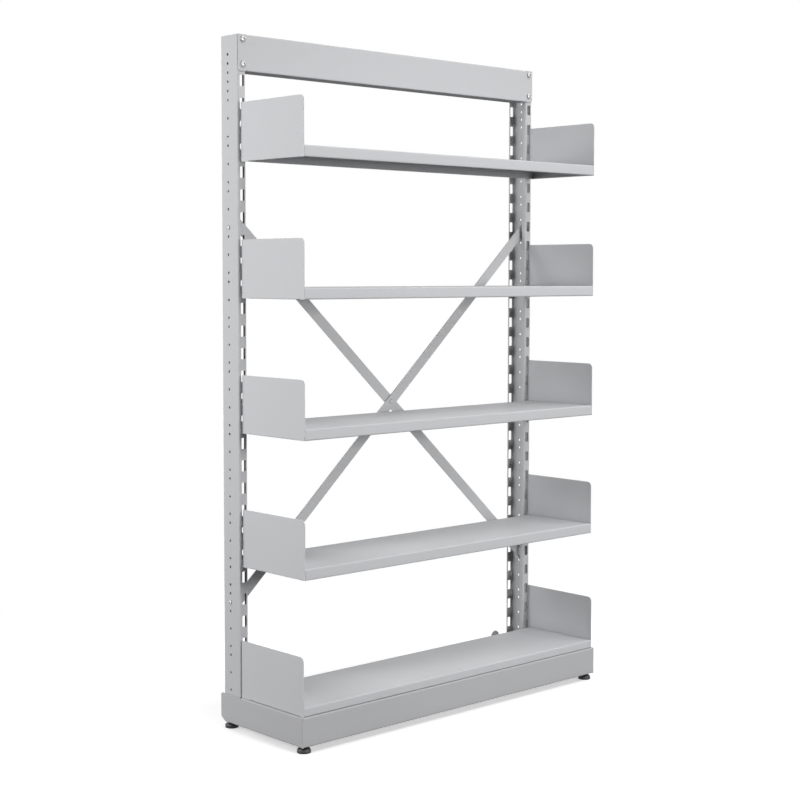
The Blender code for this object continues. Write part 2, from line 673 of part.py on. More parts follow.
def build_plinth_sides(material):
    """Side plates outside the uprights, flanged in at the top in front of them and along the foot."""
    bend = PLINTH_BEND
    start = PLINTH_FRONT_Y + PLINTH_WALL + SEAT_GAP
    low = PLINTH_BOTTOM_Z
    high = PLINTH_TOP_Z
    top_first = PLINTH_FRONT_Y + PLINTH_FRONT_TOP_FLANGE + FLANGE_JOINT_GAP
    top_last = UPRIGHT_FRONT_Y - BEND_RELIEF - FLANGE_JOINT_GAP
    foot_first = PLINTH_FRONT_Y + PLINTH_FRONT_FOOT_FLANGE + FLANGE_JOINT_GAP
    foot_last = PLINTH_REAR_Y - PLINTH_REAR_CUT_LENGTH - BEND_RELIEF
    foot = [(start, low), (foot_first - BEND_RELIEF, low), (foot_first - BEND_RELIEF, low + bend)]
    foot += [(foot_first, low + bend), (foot_last, low + bend), (foot_last + BEND_RELIEF, low + bend)]
    rear = [(foot_last + BEND_RELIEF, low + bend), (PLINTH_REAR_Y, low + PLINTH_REAR_CUT_HEIGHT + bend),
            (PLINTH_REAR_Y, high), (top_last + BEND_RELIEF, high)]
    rear = rounded_path(rear, [PLINTH_REAR_CORNER, PLINTH_REAR_CORNER], CORNER_STEPS)[1:]
    top = [(top_last + BEND_RELIEF, high - bend), (top_last, high - bend), (top_first, high - bend)]
    top += [(top_first - BEND_RELIEF, high - bend), (top_first - BEND_RELIEF, high), (start, high)]
    outline = foot + rear + top
    top_index = len(foot) + len(rear) + 1
    for side, is_right in (("left", False), ("right", True)):
        bm = bmesh.new()
        outside = -PLINTH_SIDE_X
        verts = [bm.verts.new((outside, y, z)) for y, z in outline]
        bm.faces.new(verts)
        foot_fold = arc_points((outside + bend, low + bend), bend, math.pi, 1.5 * math.pi, BEND_STEPS)[1:]
        foot_fold.append((outside + PLINTH_FOOT_FLANGE, low))
        add_strip(bm, [verts[4], verts[3]], [[(x, foot_last, z), (x, foot_first, z)] for x, z in foot_fold])
        top_fold = arc_points((outside + bend, high - bend), bend, math.pi, math.pi / 2, BEND_STEPS)[1:]
        top_fold.append((outside + PLINTH_TOP_FLANGE, high))
        edge = [verts[top_index + 1], verts[top_index]]
        add_strip(bm, edge, [[(x, top_first, z), (x, top_last, z)] for x, z in top_fold])
        bmesh.ops.recalc_face_normals(bm, faces=bm.faces)
        plate = max(bm.faces, key=lambda face: face.calc_area())
        if plate.normal.x > 0:
            bmesh.ops.reverse_faces(bm, faces=bm.faces)
        if is_right:
            mirror_mesh(bm)
        piece = add_object(f"plinth_side_{side}", finish_mesh(bm, f"plinth_side_{side}"), material)
        thicken(piece, PLINTH_WALL)
        openings = bmesh.new()
        stud_hole = regular_points(STUD_DIAMETER / 2 + BORE_CLEARANCE, SHANK_SIDES)
        wall = (low - CUT_MARGIN, low + PLINTH_WALL + CUT_MARGIN)
        for place_name, x, y in foot_places():
            if place_name.endswith(side):
                add_prism(openings, "Z", moved(stud_hole, (x, y)), *wall)
        cut(piece, add_cutter(f"plinth_side_{side}_cutter", openings))


def build_plinth_front(material):
    """Front plate of the plinth, across the ends of the side plates, flanged back above and below."""
    heights = (PLINTH_BOTTOM_Z, PLINTH_TOP_Z)
    flanges = (PLINTH_FRONT_FOOT_FLANGE, PLINTH_FRONT_TOP_FLANGE)
    flange_half = WEB_X - BEND_RELIEF
    mesh = flanged_plate_mesh("plinth_front", PLINTH_FRONT_Y, PLINTH_SIDE_X, flange_half, heights,
                              PLINTH_BEND, flanges, 0)
    piece = add_object("plinth_front", mesh, material)
    thicken(piece, PLINTH_WALL)


def build_plinth_rail(material):
    """Flat rail behind the uprights, with a rounded ear near each end."""
    near = UPRIGHT_REAR_Y + SEAT_GAP
    half = WEB_X
    low = PLINTH_BOTTOM_Z + RAIL_RISE
    high = low + RAIL_HEIGHT
    ear_x = WEB_X - RAIL_EAR_FROM_WEB
    radius = RAIL_EAR_WIDTH / 2
    ear_centre = high + RAIL_EAR_HEIGHT - radius
    right_ear = [(ear_x + radius, high)] + arc_points((ear_x, ear_centre), radius, 0, math.pi, EAR_STEPS)
    right_ear += [(ear_x - radius, high)]
    left_ear = [(-x, z) for x, z in reversed(right_ear)]
    outline = [(-half, low), (half, low), (half, high)] + right_ear + left_ear + [(-half, high)]
    bm = bmesh.new()
    add_prism(bm, "Y", outline, near, near + PLINTH_WALL)
    piece = add_object("plinth_rear_rail", finish_mesh(bm, "plinth_rear_rail"), material)
    openings = bmesh.new()
    bolt_hole = regular_points(M6_SHANK / 2 + BOLT_CLEARANCE, SHANK_SIDES)
    wall = (near - CUT_MARGIN, near + PLINTH_WALL + CUT_MARGIN)
    for x in (-SLOT_X, SLOT_X):
        add_prism(openings, "Y", moved(bolt_hole, (x, RAIL_BOLT_Z)), *wall)
    cut(piece, add_cutter("plinth_rail_cutter", openings))


def build_rail_fasteners(material):
    """A bolt from behind and a nut inside each upright hold the rear rail."""
    head_y = UPRIGHT_REAR_Y + SEAT_GAP + PLINTH_WALL + SEAT_GAP
    nut_y = UPRIGHT_REAR_Y - UPRIGHT_WALL - SEAT_GAP
    length = head_y - nut_y + M6_NUT_HEIGHT + BOLT_TAIL
    bolt = bolt_mesh("rail_bolt", M6_HEAD, M6_HEAD_HEIGHT, M6_SHANK, length)
    nut = nut_mesh("rail_nut", M6_NUT_FLATS, M6_SHANK + 2 * BORE_CLEARANCE, M6_NUT_HEIGHT)
    for side, x in (("left", -SLOT_X), ("right", SLOT_X)):
        add_object(f"rail_bolt_{side}", bolt, material, (x, head_y, RAIL_BOLT_Z), (-math.pi / 2, 0, 0))
        add_object(f"rail_nut_{side}", nut, material, (x, nut_y, RAIL_BOLT_Z), (math.pi / 2, math.pi / 2, 0))


def brace_path(bar_y):
    """Outer side of a brace in XY: tab on the left web, bar across, tab on the right web."""
    web = WEB_X - UPRIGHT_WALL - SEAT_GAP
    tab_end = WEB_HOLE_Y + BRACE_TAB_END
    corners = [(-web, tab_end), (-web, bar_y), (web, bar_y), (web, tab_end)]
    path = rounded_path(corners, [BRACE_BEND, BRACE_BEND], BEND_STEPS)
    for y in (WEB_HOLE_Y, tab_end - BRACE_TAB_TAPER):
        path.insert(1, (-web, y))
        path.insert(-1, (web, y))
    return path


def brace_ends():
    """Heights at which a bar's middle line meets the webs, the upper end and the lower."""
    upper = web_hole_z(BRACE_UPPER_HOLE) + BRACE_UPPER_RISE
    lower = web_hole_z(BRACE_LOWER_HOLE) - BRACE_LOWER_DROP
    return upper, lower


def brace_mesh(name, bar_y, bolts, ends):
    """Sloping bar whose ends turn back against the webs and run to their bolts.

    Both pairs are heights, left and right: of the bolts, and of the bar's middle line at the webs.
    """
    path = brace_path(bar_y)
    web = path[-1][0]
    slope = (ends[1] - ends[0]) / (2 * web)
    half = BRACE_WIDTH / 2 * math.hypot(1, slope)
    bm = bmesh.new()
    lines = []
    for number, (x, y) in enumerate(path):
        is_tip = number in (0, len(path) - 1)
        reach = half - BRACE_TAB_TAPER if is_tip else half
        straight = ends[0] + slope * (x + web)
        turned = min((y - bar_y) / (WEB_HOLE_Y - bar_y), 1.0)
        middle = straight + turned * (bolts[int(x > 0)] - straight)
        lines.append([bm.verts.new((x, y, middle - reach)), bm.verts.new((x, y, middle + reach))])
    for line, following in zip(lines, lines[1:]):
        bm.faces.new((line[0], following[0], following[1], line[1]))
    bmesh.ops.recalc_face_normals(bm, faces=bm.faces)
    bar = max(bm.faces, key=lambda face: face.calc_area())
    if bar.normal.y > 0:
        bmesh.ops.reverse_faces(bm, faces=bm.faces)
    return finish_mesh(bm, name)


def build_braces(material):
    """Two bars that cross behind the shelves, bolted to the webs and riveted together."""
    upper = web_hole_z(BRACE_UPPER_HOLE)
    lower = web_hole_z(BRACE_LOWER_HOLE)
    front_y = UPRIGHT_FRONT_Y + BRACE_SETBACK
    rear_y = front_y + BRACE_THICKNESS + SEAT_GAP
    bolt_hole = regular_points(M5_SHANK / 2 + BORE_CLEARANCE, SHANK_SIDES)
    rivet_hole = regular_points(RIVET_SHANK / 2 + BORE_CLEARANCE, SHANK_SIDES)
    tab = WEB_X - UPRIGHT_WALL - SEAT_GAP
    upper_end, lower_end = brace_ends()
    bars = [("brace_front", front_y, (lower, upper), (lower_end, upper_end)),
            ("brace_rear", rear_y, (upper, lower), (upper_end, lower_end))]
    for name, bar_y, bolts, ends in bars:
        piece = add_object(name, brace_mesh(name, bar_y, bolts, ends), material)
        thicken(piece, BRACE_THICKNESS)
        openings = bmesh.new()
        for x, z in zip((-tab, tab), bolts):
            inner = x - math.copysign(BRACE_THICKNESS + CUT_MARGIN, x)
            outer = x + math.copysign(CUT_MARGIN, x)
            add_prism(openings, "X", moved(bolt_hole, (WEB_HOLE_Y, z)), inner, outer)
        crossing = moved(rivet_hole, (0, sum(ends) / 2))
        add_prism(openings, "Y", crossing, bar_y - CUT_MARGIN, bar_y + BRACE_THICKNESS + CUT_MARGIN)
        cut(piece, add_cutter(f"{name}_cutter", openings))


def build_brace_fasteners(bolt_material, rivet_material):
    """Bolts through the webs, their nuts on the tabs, and the rivet at the crossing."""
    upper = web_hole_z(BRACE_UPPER_HOLE)
    lower = web_hole_z(BRACE_LOWER_HOLE)
    head_x = WEB_X + SEAT_GAP
    nut_x = WEB_X - UPRIGHT_WALL - SEAT_GAP - BRACE_THICKNESS - SEAT_GAP
    length = head_x - nut_x + M5_NUT_HEIGHT + BOLT_TAIL
    bolt = bolt_mesh("brace_bolt", M5_HEAD, M5_HEAD_HEIGHT, M5_SHANK, length)
    nut = nut_mesh("brace_nut", M5_NUT_FLATS, M5_SHANK + 2 * BORE_CLEARANCE, M5_NUT_HEIGHT)
    for side, sign in (("left", -1), ("right", 1)):
        for level, z in (("upper", upper), ("lower", lower)):
            head_place = (sign * head_x, WEB_HOLE_Y, z)
            nut_place = (sign * nut_x, WEB_HOLE_Y, z)
            turn = sign * math.pi / 2
            add_object(f"brace_bolt_{side}_{level}", bolt, bolt_material, head_place, (0, turn, 0))
            add_object(f"brace_nut_{side}_{level}", nut, bolt_material, nut_place, (0, -turn, 0))
    grip = 2 * BRACE_THICKNESS + 3 * SEAT_GAP
    front = dome_profile(RIVET_HEAD / 2, RIVET_HEAD_HEIGHT, grip / 2)
    rear = [(radius, -height) for radius, height in reversed(front)]
    profile = rear + [(RIVET_SHANK / 2, -grip / 2), (RIVET_SHANK / 2, grip / 2)] + front
    rivet = turned_mesh("brace_rivet", profile, SHANK_SIDES)
    middle_y = UPRIGHT_FRONT_Y + BRACE_SETBACK + BRACE_THICKNESS + SEAT_GAP / 2
    crossing_z = sum(brace_ends()) / 2
    add_object("brace_rivet", rivet, rivet_material, (0, middle_y, crossing_z), (math.pi / 2, 0, 0))


def foot_pad_mesh():
    """Domed pad with a socket for the stud, standing on z = 0."""
    rim = FOOT_DIAMETER / 2
    socket = STUD_DIAMETER / 2 + BORE_CLEARANCE
    floor = STUD_SOCKET - SEAT_GAP
    profile = [(0.0, 0.0), (rim - FOOT_EDGE_ROUND, 0.0), (rim, FOOT_EDGE_ROUND), (rim, FOOT_EDGE)]
    shoulder = []
    for step in range(1, DOME_STEPS + 1):
        angle = math.pi / 2 * step / DOME_STEPS
        radius = FOOT_NECK / 2 + (rim - FOOT_NECK / 2) * math.cos(angle)
        shoulder.append((radius, FOOT_EDGE + (FOOT_NECK_RISE - FOOT_EDGE) * math.sin(angle)))
    neck_top = PLINTH_BOTTOM_Z - SEAT_GAP
    profile += shoulder
    profile += [(FOOT_NECK / 2, neck_top), (socket, neck_top), (socket, floor), (0.0, floor)]
    return turned_mesh("foot_pad", profile, FOOT_SIDES)


def build_feet(plastic, zinc):
    """Four screw feet: pad and stud turn together in a nut that is fixed to the plinth."""
    pad = foot_pad_mesh()
    radius = STUD_DIAMETER / 2
    stud_profile = [(0.0, STUD_SOCKET), (radius, STUD_SOCKET), (radius, STUD_TOP), (0.0, STUD_TOP)]
    stud = turned_mesh("foot_stud", stud_profile, SHANK_SIDES)
    nut = nut_mesh("foot_nut", FOOT_NUT_FLATS, STUD_DIAMETER + 2 * BORE_CLEARANCE, FOOT_NUT_HEIGHT)
    nut_z = PLINTH_BOTTOM_Z + PLINTH_WALL + SEAT_GAP
    for name, x, y in foot_places():
        carrier = add_empty(f"foot_{name}_carrier", (x, y, 0))
        add_object(f"foot_pad_{name}", pad, plastic, parent=carrier)
        add_object(f"foot_stud_{name}", stud, zinc, parent=carrier)
        add_object(f"foot_nut_{name}", nut, zinc, (x, y, nut_z))


def main():
    """Build the whole bay."""
    clear_scene()
    frame_paint = make_material("frame_paint", (0.55, 0.555, 0.565), 0.42, 0.0)
    shelf_paint = make_material("shelf_paint", (0.53, 0.535, 0.55), 0.42, 0.0)
    plinth_paint = make_material("plinth_paint", (0.46, 0.465, 0.475), 0.45, 0.0)
    brace_paint = make_material("brace_paint", (0.42, 0.42, 0.43), 0.45, 0.0)
    zinc = make_material("zinc_plate", (0.66, 0.66, 0.66), 0.30, 1.0)
    plastic = make_material("black_plastic", (0.02, 0.02, 0.022), 0.50, 0.0)
    build_uprights(frame_paint)
    build_header(frame_paint)
    build_header_fasteners(zinc)
    build_shelves(shelf_paint)
    build_plinth_sides(plinth_paint)
    build_plinth_front(plinth_paint)
    build_plinth_rail(plinth_paint)
    build_rail_fasteners(zinc)
    build_braces(brace_paint)
    build_brace_fasteners(zinc, brace_paint)
    build_feet(plastic, zinc)
    bpy.context.view_layer.update()


main()
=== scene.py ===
"""Looks of one bay of single-sided steel library shelving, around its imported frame.

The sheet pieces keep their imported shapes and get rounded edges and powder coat. Bolts, nuts,
studs, the rivet and the feet are replaced by finer ones. Metres, +Z up, the front is -Y.
"""
import json
import math

import bmesh
import bpy
from mathutils import Matrix, Vector


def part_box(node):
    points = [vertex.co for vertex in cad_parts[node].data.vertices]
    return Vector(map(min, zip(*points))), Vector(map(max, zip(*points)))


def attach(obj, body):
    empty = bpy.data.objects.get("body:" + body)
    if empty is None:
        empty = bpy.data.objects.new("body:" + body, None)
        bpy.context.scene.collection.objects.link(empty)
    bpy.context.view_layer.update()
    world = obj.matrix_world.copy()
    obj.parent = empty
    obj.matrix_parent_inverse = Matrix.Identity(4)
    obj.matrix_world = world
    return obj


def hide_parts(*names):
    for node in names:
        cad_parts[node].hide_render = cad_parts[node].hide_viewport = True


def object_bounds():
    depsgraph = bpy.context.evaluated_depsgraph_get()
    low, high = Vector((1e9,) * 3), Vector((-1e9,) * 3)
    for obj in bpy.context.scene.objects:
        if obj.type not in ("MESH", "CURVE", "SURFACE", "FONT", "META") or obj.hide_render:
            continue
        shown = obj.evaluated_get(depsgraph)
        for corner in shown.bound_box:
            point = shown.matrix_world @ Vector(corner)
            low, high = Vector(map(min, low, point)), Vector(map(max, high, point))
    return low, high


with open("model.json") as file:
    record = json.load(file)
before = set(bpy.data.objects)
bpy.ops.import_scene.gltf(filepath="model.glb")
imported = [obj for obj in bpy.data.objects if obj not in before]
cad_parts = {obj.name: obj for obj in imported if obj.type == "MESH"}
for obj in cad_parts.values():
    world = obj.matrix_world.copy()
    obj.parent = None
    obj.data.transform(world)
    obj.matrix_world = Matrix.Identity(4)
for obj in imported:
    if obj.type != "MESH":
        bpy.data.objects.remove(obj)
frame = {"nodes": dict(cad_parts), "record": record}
cad_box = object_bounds()

# Directions and angles
FRONT = (0, -1, 0)
BACK = (0, 1, 0)
LEFT = (-1, 0, 0)
RIGHT = (1, 0, 0)
UP = (0, 0, 1)
TURN = 2 * math.pi
HEXAGON_SECTOR = TURN / 6

# Camera, at the photograph's viewing angle
CAMERA_PLACE = (-2.5607, -2.7183, 1.0292)
CAMERA_YAW = math.radians(42.61)     # to the right of straight ahead
CAMERA_PITCH = math.radians(3.628)   # below the horizon
CAMERA_ROLL = math.radians(-0.066)
CAMERA_LENS = 70.68                  # millimetres, on a sensor 36 mm wide
CAMERA_SENSOR = 36.0
CAMERA_SHIFT = -0.033

# Stage
BACKDROP = 1.0               # brightness of the white around the object
AMBIENT = 0.25               # light from all round, on the object
FLOOR_SIZE = 14.0
FLOOR_GLOW = 0.45            # part of the floor's white that a shadow cannot take away
FLOOR_SHADE = 0.76           # part of the floor's white that a shadow takes away
FLOOR_BOUNCE = 0.06          # what the floor gives back to the object
FLOOR_NEAR = 0.8             # up to here the floor shows shadows, from the object's middle
FLOOR_FAR = 1.6              # past here it is all white

# Lamps: name, place, target, width and height, power
LAMPS = (
    ("lamp_left", (-2.8, 1.9, 1.1), (0.0, 0.0, 0.6), (1.4, 1.0), 28.0),
    ("lamp_side", (-3.0, 0.5, 1.6), (0.0, 0.0, 0.8), (0.9, 2.0), 42.0),
    ("lamp_right", (2.4, -1.5, 3.2), (0.0, 0.0, 0.8), (1.2, 1.2), 24.0),
    ("lamp_front", (0.3, -3.6, 1.2), (0.0, 0.0, 0.6), (1.4, 0.8), 72.0),
    ("lamp_top", (0.0, -1.8, 5.0), (0.0, 0.0, 0.9), (3.0, 2.4), 74.0),
    ("lamp_far_side", (3.2, 0.9, 1.5), (0.0, 0.0, 0.8), (1.4, 1.6), 26.0),
    ("lamp_back", (0.6, 3.4, 1.6), (0.0, 0.0, 0.8), (1.6, 1.6), 26.0),
)

# Colours, linear
WHITE = (1.0, 1.0, 1.0)
FRAME_COLOUR = (0.558, 0.563, 0.577)
SHELF_COLOUR = (0.587, 0.593, 0.609)
PLINTH_COLOUR = (0.500, 0.503, 0.515)
BRACE_COLOUR = (0.560, 0.562, 0.570)
ZINC_COLOUR = (0.42, 0.42, 0.415)
ZINC_TINT = (0.95, 0.94, 0.91)       # its warm clouds, of the zinc's colour
PLASTIC_COLOUR = (0.018, 0.018, 0.020)

# Noises of the finishes: waves in a metre, detail, roughness
PAINT_DRIFT = (2.4, 2, 0.5)
PAINT_GRAIN = (520, 3, 0.6)
PAINT_PEEL = (700, 2, 0.5)
EDGE_WEAR_AND_HIGHLIGHT = (60, 2, 0.5)
SHEET_WAVE = (5, 1, 0.5)
ZINC_CLOUD = (180, 3, 0.5)
ZINC_SCRATCH = (2600, 3, 0.7)
PLASTIC_DUST = (140, 4, 0.65)
PLASTIC_SPARK = (1800, 2, 0.6)

# Ranges: the values of a noise that are spread out, and what values are spread over
NOISE_MIDDLE = (0.35, 0.65)
NOISE_BROAD = (0.3, 0.7)
WHOLE_RANGE = (0.0, 1.0)
FALLING_RANGE = (1.0, 0.0)

# Bumps of the finishes: strength, height
SHEET_WAVE_BUMP = (0.04, 0.004)
PEEL_BUMP = (0.10, 0.0003)
SCRATCH_BUMP = (0.08, 0.0001)
SPARK_BUMP = (0.15, 0.0002)

# Powder coat, with shades as shares of the paint's colour
PAINT_ROUGHNESS = (0.48, 0.57)
PAINT_GLOSS = 0.22           # strength of the paint's mirror light
DRIFT_SHADES = (0.975, 1.025)
GRAIN_SHADES = (0.97, 1.03)
GRAIN_SHARE = (0.45, 0.55)   # of the grain in the colour, the rest is drift
WEAR_AND_HIGHLIGHT_START = (0.35, 0.6)     # values of the noise over which an edge wears and takes a painted highlight
WEAR_AND_HIGHLIGHT_AMOUNT = (0.15, 0.55)
# pale edges, partly real wear and partly a painted highlight
WORN_AND_HIGHLIT_SHADE = 1.22
EDGE_REACH = 0.0012          # how far from an edge the wear and painted highlight reach
EDGE_COSINES = (0.99, 0.80)  # of an edge's turn off the face, from no wear and highlight to full
RECESS_REACH = 0.07          # how far off a wall still makes a recess
RECESS_OPENNESS = (0.35, 0.72)       # deep in a recess, and on an open face
FRAME_RECESS = 0.38          # painted shade deep in a recess of the frame
SHEET_RECESS = 0.80          # and of the other sheets
UNDER_HEIGHTS = (-0.95, -0.70)       # Z of the normal, on faces that look down and on the others
UNDER_SHADE = 0.55           # painted shade on faces that look down
UNDER_DRYNESS = 0.40         # and how much rougher it is there
MASK_SAMPLES = 4             # rays that feel for an edge or a wall

# Zinc and plastic
ZINC_ROUGHNESS = (0.38, 0.52)
PLASTIC_ROUGHNESS = (0.36, 0.52)
DUST_START = (0.50, 0.78)    # values of the noise over which dust lies
DUST_COVER = (0.0, 0.35)
DUST_SHADE = 4.5             # of the plastic's colour

# Colour sockets of a mix node, by number because sockets of other kinds share their names
MIX_FIRST = 6
MIX_SECOND = 7
MIX_RESULT = 2

# Rounding of cut and folded sheet edges
EDGE_RADIUS = 0.0003
EDGE_STEPS = 2
SHARP_ANGLE = math.radians(40)
FLAT_ANGLE = math.radians(0.5)
WELD_DISTANCE = 1e-6
NORMAL_WEIGHT = 50

# Hardware by thread size: width of the shank, pitch, height of the head, flats of the socket
M5 = {"shank": 0.0050, "pitch": 0.0008, "head": 0.0030, "socket": 0.0030}
M6 = {"shank": 0.0060, "pitch": 0.0010, "head": 0.0040, "socket": 0.0040}
M8 = {"shank": 0.0080, "pitch": 0.00125}
ROUND_SIDES = 48
THREAD_SIDES = 24
THREAD_STEPS = 6             # rings in one pitch
THREAD_DEPTH = 0.55          # of the pitch
DOME_STEPS = 8
HEAD_EDGE = 0.0003           # chamfer under a bolt's head, and depth of its socket's countersink
HEAD_RIM = 0.25              # share of a bolt's head that is straight
SOCKET_MOUTH = 0.62          # radius of a socket's countersink, of its flats
SOCKET_DEPTH = 0.55          # of the head's height
RIVET_SHANK = 0.006
RIVET_HEAD = 0.0025
RIVET_TIP = 0.1              # flat at the top of a rivet's dome, of its width
NUT_CLEARANCE = 0.0002       # from the thread to the bore
NUT_LEAD = 0.0006            # chamfer at the mouth of the bore
NUT_FACE = 0.97              # round face of a nut, of its flats
NUT_SLOPE = math.radians(60)         # of a turned-down corner, off the nut's axis
NUT_STEPS = 4

# Levelling feet
PAD_ROUND = 0.0012           # rounding of the sole's edge
PAD_RIM = 0.0040             # floor to the groove
PAD_GROOVE = 0.0004          # depth of the groove
PAD_NECK = 0.014             # width over the neck's corners
PAD_DOME = 0.012             # floor to the top of the dome
PAD_SOCKET = 0.0086          # width of the socket
PAD_FLOOR = 0.0057           # floor to the bottom of the socket


# Shared tools

def find_body(node):
    """Name of the body that carries a node."""
    for body, members in frame["record"]["behaviour"]["bodies"].items():
        if node in members:
            return body
    raise KeyError(node)


def find_slot(node):
    """Name of the material slot that a node takes its finish from."""
    for row in frame["record"]["subparts"]:
        if row["node"] == node:
            return row["material_slot"]
    raise KeyError(node)


def shade(colour, share):
    """A colour made lighter or darker, with alpha."""
    return (*(min(part * share, 1.0) for part in colour), 1.0)


def add_node(tree, kind, inputs=None, **settings):
    """Add a node with its settings and unlinked inputs."""
    node = tree.nodes.new(kind)
    for key, value in settings.items():
        setattr(node, key, value)
    for key, value in (inputs or {}).items():
        node.inputs[key].default_value = value
    return node


def feed(tree, socket, value):
    """Link a socket to another socket, or set it to a plain value."""
    if isinstance(value, bpy.types.NodeSocket):
        tree.links.new(value, socket)
    else:
        socket.default_value = value


def start_material(name):
    """Return a new node material with its tree and its Principled shader."""
    material = bpy.data.materials.new(name)
    material.use_nodes = True
    tree = material.node_tree
    return material, tree, tree.nodes["Principled BSDF"]


def add_noise(tree, scale, detail, roughness):
    """Add a noise texture in the object's own metres and return its value."""
    place = add_node(tree, "ShaderNodeTexCoord")
    noise = add_node(tree, "ShaderNodeTexNoise",
                     {"Scale": scale, "Detail": detail, "Roughness": roughness})
    tree.links.new(place.outputs["Object"], noise.inputs["Vector"])
    return noise.outputs["Fac"]


def add_range(tree, value, source, target):
    """Map a value from one range to another, clamped, and return the result."""
    node = add_node(tree, "ShaderNodeMapRange",
                    {"From Min": source[0], "From Max": source[1],
                     "To Min": target[0], "To Max": target[1]})
    tree.links.new(value, node.inputs["Value"])
    return node.outputs["Result"]


def add_mix(tree, factor, first, second):
    """Mix two colours, each a link or a colour, and return the result."""
    node = add_node(tree, "ShaderNodeMix", data_type="RGBA")
    tree.links.new(factor, node.inputs["Factor"])
    feed(tree, node.inputs[MIX_FIRST], first)
    feed(tree, node.inputs[MIX_SECOND], second)
    return node.outputs[MIX_RESULT]


def add_math(tree, operation, first, second):
    """Join two values with a sum, product or the like, and return the result."""
    node = add_node(tree, "ShaderNodeMath", operation=operation)
    feed(tree, node.inputs[0], first)
    feed(tree, node.inputs[1], second)
    return node.outputs["Value"]


def add_bump(tree, height, bump, before=None):
    """Raise a surface by a height, on top of an earlier bump if there is one."""
    strength, distance = bump
    node = add_node(tree, "ShaderNodeBump", {"Strength": strength, "Distance": distance})
    tree.links.new(height, node.inputs["Height"])
    if before is not None:
        tree.links.new(before, node.inputs["Normal"])
    return node.outputs["Normal"]


def mix_shaders(tree, factor, first, second):
    """Mix two shaders by a factor and return the result."""
    node = add_node(tree, "ShaderNodeMixShader")
    for socket, value in zip(node.inputs, (factor, first, second)):
        tree.links.new(value, socket)
    return node.outputs[0]


# Materials

def add_edge_mask(tree):
    """Return 1 on a sheet's edges and 0 on its flat faces."""
    bent = add_node(tree, "ShaderNodeBevel", {"Radius": EDGE_REACH}, samples=MASK_SAMPLES)
    flat = add_node(tree, "ShaderNodeNewGeometry")
    dot = add_node(tree, "ShaderNodeVectorMath", operation="DOT_PRODUCT")
    tree.links.new(bent.outputs["Normal"], dot.inputs[0])
    tree.links.new(flat.outputs["Normal"], dot.inputs[1])
    return add_range(tree, dot.outputs["Value"], EDGE_COSINES, WHOLE_RANGE)


def add_recess_shade_mask(tree):
    """Return 1 deep in a recess, where painted shade goes, and 0 on open faces."""
    openness = add_node(tree, "ShaderNodeAmbientOcclusion", {"Distance": RECESS_REACH},
                        samples=MASK_SAMPLES)
    return add_range(tree, openness.outputs["AO"], RECESS_OPENNESS, FALLING_RANGE)


def add_under_mask(tree):
    """Return 1 on faces that look down, for painted shade and rougher paint there, and 0 on the
    others.
    """
    face = add_node(tree, "ShaderNodeNewGeometry")
    parts = add_node(tree, "ShaderNodeSeparateXYZ")
    tree.links.new(face.outputs["Normal"], parts.inputs[0])
    return add_range(tree, parts.outputs["Z"], UNDER_HEIGHTS, FALLING_RANGE)


def paint_colour(tree, colour, recess, grain, under):
    """Colour of powder coat: drift, grain, wear and painted highlight on edges, painted shade in
    recesses and below.
    """
    drift = add_range(tree, add_noise(tree, *PAINT_DRIFT), NOISE_MIDDLE, WHOLE_RANGE)
    slow = add_mix(tree, drift, *(shade(colour, share) for share in DRIFT_SHADES))
    fine = add_mix(tree, grain, *(shade(colour, share) for share in GRAIN_SHADES))
    coat = add_mix(tree, add_range(tree, drift, WHOLE_RANGE, GRAIN_SHARE), slow, fine)
    wear_and_highlight = add_range(tree, add_noise(tree, *EDGE_WEAR_AND_HIGHLIGHT), WEAR_AND_HIGHLIGHT_START, WEAR_AND_HIGHLIGHT_AMOUNT)
    # pale edges: partly real wear, partly a painted highlight
    worn_and_highlit = add_math(tree, "MULTIPLY", add_edge_mask(tree), wear_and_highlight)
    edged = add_mix(tree, worn_and_highlit, coat, shade(colour, WORN_AND_HIGHLIT_SHADE))
    # painted shade in recesses, deeper where walls are close
    recess_shaded = add_mix(tree, add_recess_shade_mask(tree), edged, shade(colour, recess))
    # painted shade on faces that look down
    return add_mix(tree, under, recess_shaded, shade(colour, UNDER_SHADE))


def powder_coat(name, colour, recess):
    """Satin powder coat with fine grain and orange peel, painted shade in recesses and below, drier
    below.
    """
    material, tree, shader = start_material(name)
    grain = add_range(tree, add_noise(tree, *PAINT_GRAIN), NOISE_BROAD, WHOLE_RANGE)
    under = add_under_mask(tree)
    tree.links.new(paint_colour(tree, colour, recess, grain, under), shader.inputs["Base Color"])
    rough = add_range(tree, grain, WHOLE_RANGE, PAINT_ROUGHNESS)
    dry = add_math(tree, "ADD", rough, add_math(tree, "MULTIPLY", under, UNDER_DRYNESS))
    tree.links.new(dry, shader.inputs["Roughness"])
    wave = add_bump(tree, add_noise(tree, *SHEET_WAVE), SHEET_WAVE_BUMP)
    peel = add_bump(tree, add_noise(tree, *PAINT_PEEL), PEEL_BUMP, wave)
    tree.links.new(peel, shader.inputs["Normal"])
    shader.inputs["Specular IOR Level"].default_value = PAINT_GLOSS
    return material


def zinc_plate(name):
    """Bright zinc: cloudy shade, a trace of warmth, fine scratches."""
    material, tree, shader = start_material(name)
    cloud = add_range(tree, add_noise(tree, *ZINC_CLOUD), NOISE_MIDDLE, WHOLE_RANGE)
    warm = tuple(part * share for part, share in zip(ZINC_COLOUR, ZINC_TINT))
    colour = add_mix(tree, cloud, shade(ZINC_COLOUR, 1.0), shade(warm, 1.0))
    tree.links.new(colour, shader.inputs["Base Color"])
    scratch = add_noise(tree, *ZINC_SCRATCH)
    tree.links.new(add_range(tree, scratch, NOISE_BROAD, ZINC_ROUGHNESS), shader.inputs["Roughness"])
    tree.links.new(add_bump(tree, scratch, SCRATCH_BUMP), shader.inputs["Normal"])
    shader.inputs["Metallic"].default_value = 1.0
    return material


